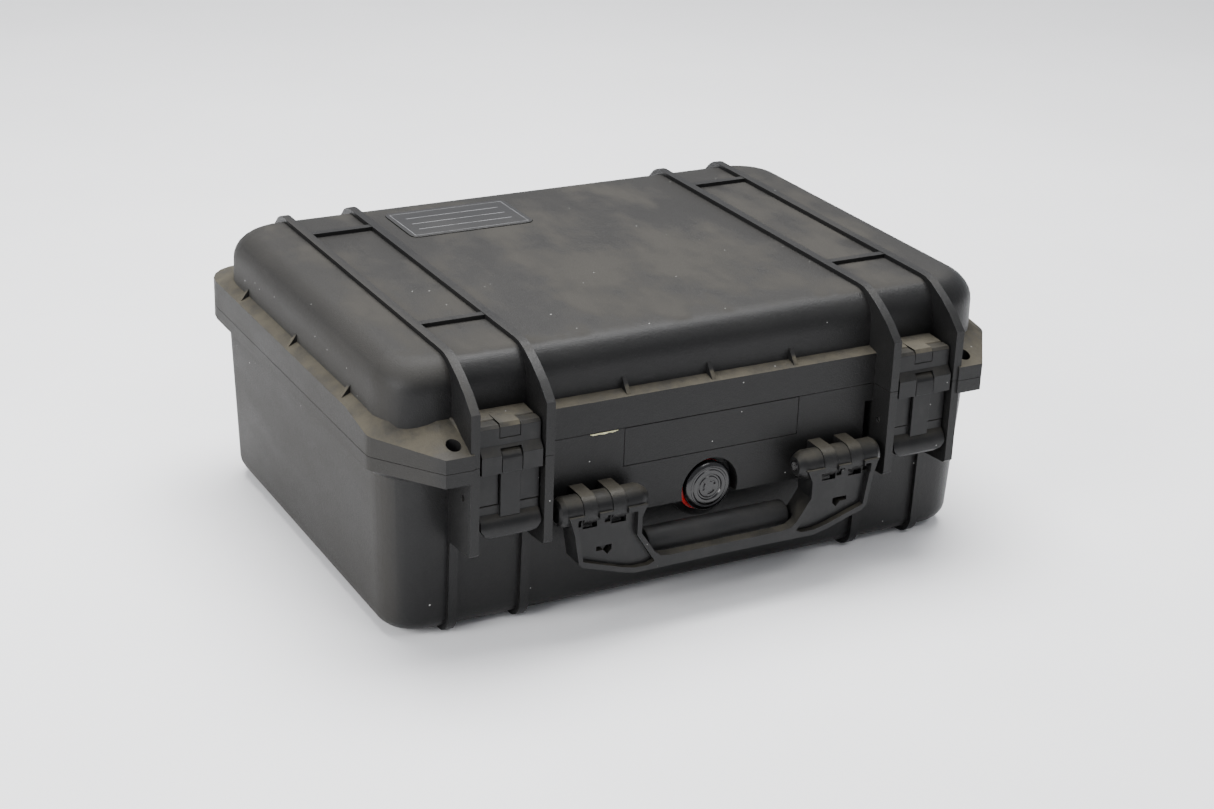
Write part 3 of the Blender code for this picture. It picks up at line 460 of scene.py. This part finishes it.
def new_piece(name, bm, material):
    mesh = bpy.data.meshes.new(name)
    bm.to_mesh(mesh)
    bm.free()
    mesh.shade_smooth()
    mesh.materials.append(material)
    item = bpy.data.objects.new(name, mesh)
    bpy.context.scene.collection.objects.link(item)
    return item


def baked(item):
    """Return an item's mesh with its modifiers applied."""
    bpy.context.view_layer.update()
    return bpy.data.meshes.new_from_object(item.evaluated_get(bpy.context.evaluated_depsgraph_get()))


def remeshed_copy(node, name, voxel):
    """Return a new piece with an even, softened copy of a node's mesh."""
    item = bpy.data.objects.new(name, NODES[node].data.copy())
    bpy.context.scene.collection.objects.link(item)
    weld = item.modifiers.new("rejoin", "WELD")
    weld.merge_threshold = WELD_REACH
    remesh = item.modifiers.new("voxels", "REMESH")
    remesh.voxel_size = voxel
    smooth = item.modifiers.new("soften", "SMOOTH")
    smooth.iterations = 3
    item.data = baked(item)
    item.modifiers.clear()
    item.data.materials.clear()
    item.data.materials.append(FOAM)
    item.data.shade_smooth()
    return item


def build_foams():
    """Build a lightly scored block on a floor pad in the base, and an egg-crate sheet in the lid."""
    insert = remeshed_copy("base_foam_insert", "foam_insert", FOAM_VOXEL)
    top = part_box("base_foam_insert")[1][2]
    faces_up = [vertex.normal.z > FACING_LIMIT for vertex in insert.data.vertices]
    for vertex, is_top in zip(insert.data.vertices, faces_up):
        place = vertex.co
        if is_top and place.z > top - 4.0 * MM:
            for value in (place.x, place.y):
                away = abs((value / SCORE_PITCH) % 1.0 - 0.5) * 2.0
                place.z -= SCORE_DEPTH * max(0.0, away - SCORE_FLAT) / (1.0 - SCORE_FLAT)
    pad = remeshed_copy("base_foam_pad", "foam_floor_pad", FOAM_VOXEL)
    sheet = remeshed_copy("lid_foam", "foam_lid_sheet", FOAM_VOXEL)
    wave = 2.0 * math.pi / CRATE_PITCH
    faces_down = [vertex.normal.z < -FACING_LIMIT for vertex in sheet.data.vertices]
    for vertex, is_underside in zip(sheet.data.vertices, faces_down):
        place = vertex.co
        if is_underside:
            crest = 0.5 - 0.5 * math.sin(place.x * wave) * math.sin(place.y * wave)
            place.z += CRATE_RISE * crest
    for item, node, body, fill in (
        (insert, "base_foam_insert", "base", 1.0),
        (pad, "base_foam_pad", "base", 1.0),
        (sheet, "lid_foam", "lid", 0.9),
    ):
        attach(item, body)
        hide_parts(node)


def lathe(profile, segments):
    """Turn (radius, height) pairs about Z into a closed mesh, still open for editing."""
    bm = bmesh.new()
    rings = []
    for radius, height in profile:
        if radius == 0.0:
            rings.append([bm.verts.new((0.0, 0.0, height))])
            continue
        ring = []
        for k in range(segments):
            angle = 2.0 * math.pi * k / segments
            ring.append(bm.verts.new((radius * math.cos(angle), radius * math.sin(angle), height)))
        rings.append(ring)
    for low, high in zip(rings, rings[1:]):
        for k in range(segments):
            n = (k + 1) % segments
            corners = [low[k % len(low)], low[n % len(low)], high[n % len(high)], high[k % len(high)]]
            unique = list(dict.fromkeys(corners))
            bm.faces.new(unique)
    bmesh.ops.recalc_face_normals(bm, faces=bm.faces)
    return bm


def build_valve_knob():
    """Build the valve's knob: stepped rings round a disc with three curved slots."""
    low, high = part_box("valve_knob")
    depth = high[1] - low[1]
    rim = (high[0] - low[0]) / 2
    profile = [
        (0.0, depth - 0.5 * MM),
        (3.0 * MM, depth - 0.5 * MM),
        (6.4 * MM, depth - 0.5 * MM),
        (6.9 * MM, depth - 1.1 * MM),
        (7.9 * MM, depth - 1.1 * MM),
        (8.4 * MM, depth - 0.2 * MM),
        (10.6 * MM, depth - 0.1 * MM),
        (11.1 * MM, depth - 0.6 * MM),
        (12.1 * MM, depth - 0.7 * MM),
        (12.6 * MM, depth - 0.3 * MM),
        (13.8 * MM, depth - 0.6 * MM),
        (15.0 * MM, depth - 1.3 * MM),
        (rim - 0.1 * MM, depth - 2.1 * MM),
        (rim - 0.1 * MM, 0.3 * MM),
        (rim - 0.6 * MM, 0.0),
        (0.0, 0.0),
    ]
    knob = new_piece("valve_knob_disc", lathe(profile, KNOB_SEGMENTS), KNOB)
    bm = bmesh.new()
    for start in (20.0, 140.0, 260.0):
        loops = []
        for k in range(9):
            angle = math.radians(start + 8.0 * k)
            loop = []
            for radius, height in ((3.4, 0.5), (4.6, 0.5), (4.6, -1.2), (3.4, -1.2)):
                across = radius * MM
                loop.append(
                    bm.verts.new((across * math.cos(angle), across * math.sin(angle), depth + height * MM))
                )
            loops.append(loop)
        for first, second in zip(loops, loops[1:]):
            for k in range(4):
                n = (k + 1) % 4
                bm.faces.new((first[k], first[n], second[n], second[k]))
        bm.faces.new(loops[0])
        bm.faces.new(list(reversed(loops[-1])))
    bmesh.ops.recalc_face_normals(bm, faces=bm.faces)
    slots = new_piece("slot_tool", bm, KNOB)
    cut = knob.modifiers.new("slots", "BOOLEAN")
    cut.object = slots
    cut.operation = "DIFFERENCE"
    bevel = knob.modifiers.new("round", "BEVEL")
    bevel.width = 0.2 * MM
    bevel.segments = 2
    bevel.angle_limit = math.radians(25.0)
    mesh = baked(knob)
    knob.modifiers.clear()
    knob.data = mesh
    bpy.data.objects.remove(slots, do_unlink=True)
    seat = Matrix.Translation((0.0, high[1], VALVE_AXIS_Z))
    mesh.transform(seat @ Matrix.Rotation(math.pi / 2, 4, "X"))
    mesh.shade_smooth()
    mesh.set_sharp_from_angle(angle=math.radians(40.0))
    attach(knob, "valve")
    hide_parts("valve_knob")


def build_valve_ring():
    """Build the valve's O-ring, which has slipped a little out of its seat at the lower left."""
    low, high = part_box("valve_o_ring")
    tube = (high[1] - low[1]) / 2
    middle = (high[1] + low[1]) / 2
    reach = (high[0] - low[0]) / 2 - tube - 1.7 * MM
    bm = bmesh.new()
    rings = []
    for k in range(RING_STEPS):
        angle = 2.0 * math.pi * k / RING_STEPS
        slip = RING_SLIP * max(0.0, math.cos(angle - RING_SLIP_ANGLE)) ** 2
        ring = []
        for n in range(RING_SIDES):
            turn = 2.0 * math.pi * n / RING_SIDES
            radius = reach + slip + tube * math.cos(turn)
            place = (radius * math.cos(angle), middle + tube * math.sin(turn), radius * math.sin(angle))
            ring.append(bm.verts.new((place[0], place[1], place[2] + VALVE_AXIS_Z)))
        rings.append(ring)
    for k, ring in enumerate(rings):
        following = rings[(k + 1) % RING_STEPS]
        for n in range(RING_SIDES):
            m = (n + 1) % RING_SIDES
            bm.faces.new((ring[n], ring[m], following[m], following[n]))
    bmesh.ops.recalc_face_normals(bm, faces=bm.faces)
    item = new_piece("valve_seal_ring", bm, red_rubber_material())
    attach(item, "base")
    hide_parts("valve_o_ring")


def build_paint_sliver():
    """Build the dried smear of pale paint along the rim, beside the name plate."""
    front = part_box("name_plate")[0][1]
    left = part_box("name_plate")[0][0]
    bm = bmesh.new()
    edge = []
    heights = (0.3, 0.9, 1.0, 0.7, 0.9, 1.1, 0.8, 0.5, 0.9, 0.6, 0.2)
    for k, height in enumerate(heights):
        edge.append((left - (22.5 - 1.8 * k) * MM, SEAM_Z - 0.4 * MM, height * MM))
    upper = [bm.verts.new((x, front, z + 0.1 * MM)) for x, z, height in edge]
    lower = [bm.verts.new((x, front, z - height)) for x, z, height in edge]
    for k in range(len(edge) - 1):
        bm.faces.new((lower[k], lower[k + 1], upper[k + 1], upper[k]))
    item = new_piece("paint_sliver", bm, sliver_material())
    thick = item.modifiers.new("thick", "SOLIDIFY")
    thick.thickness = 0.25 * MM
    thick.offset = 0.0
    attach(item, "base")


def build_stage():
    """Build the pale floor, flat and wide enough to be clear in views from every side."""
    bm = bmesh.new()
    corners = ((-1, -1), (1, -1), (1, 1), (-1, 1))
    bm.faces.new([bm.verts.new((x * FLOOR_REACH, y * FLOOR_REACH, 0.0)) for x, y in corners])
    look = Look("pale_floor")
    mottle = look.noise(3.0, 4.0)
    colour = look.blend(look.ramp(mottle, 0.3, 0.7), (0.90, 0.90, 0.91), (0.94, 0.94, 0.95))
    matt = look.finish(colour, 0.7, look.bump(look.noise(60.0), 0.03, 1.0 * MM))
    item = new_piece("floor", bm, matt)
    item.location.z = -0.2 * MM


def add_area_light(name, place, target, size, power):
    data = bpy.data.lights.new(name, "AREA")
    data.shape = "RECTANGLE"
    data.size, data.size_y = size
    data.energy = power
    light = bpy.data.objects.new(name, data)
    light.location = place
    light.rotation_euler = (Vector(target) - Vector(place)).to_track_quat("-Z", "Y").to_euler()
    bpy.context.scene.collection.objects.link(light)


def build_lights():
    centre = (0.0, 0.0, 0.09)
    add_area_light("overhead", (0.15, 0.35, 1.7), centre, (1.6, 1.2), 78.0)
    add_area_light("front_fill", (0.5, -1.6, 1.9), centre, (0.9, 0.4), 9.0)
    add_area_light("left_fill", (-1.7, -0.5, 0.8), centre, (0.9, 0.9), 34.0)
    world = bpy.data.worlds.new("studio")
    world.use_nodes = True
    background = world.node_tree.nodes["Background"]
    background.inputs["Color"].default_value = SKY_COLOUR
    background.inputs["Strength"].default_value = SKY_STRENGTH
    bpy.context.scene.world = world


def build_camera():
    data = bpy.data.cameras.new("camera")
    data.lens = CAMERA_LENS
    data.sensor_width = SENSOR_WIDTH
    data.clip_start = 0.05
    camera = bpy.data.objects.new("camera", data)
    camera.location = CAMERA_PLACE
    camera.rotation_euler = [math.radians(angle) for angle in CAMERA_TURN]
    bpy.context.scene.collection.objects.link(camera)
    bpy.context.scene.camera = camera


build_foams()
build_valve_knob()
build_valve_ring()
build_paint_sliver()
dress_nodes()
build_stage()
build_lights()
build_camera()
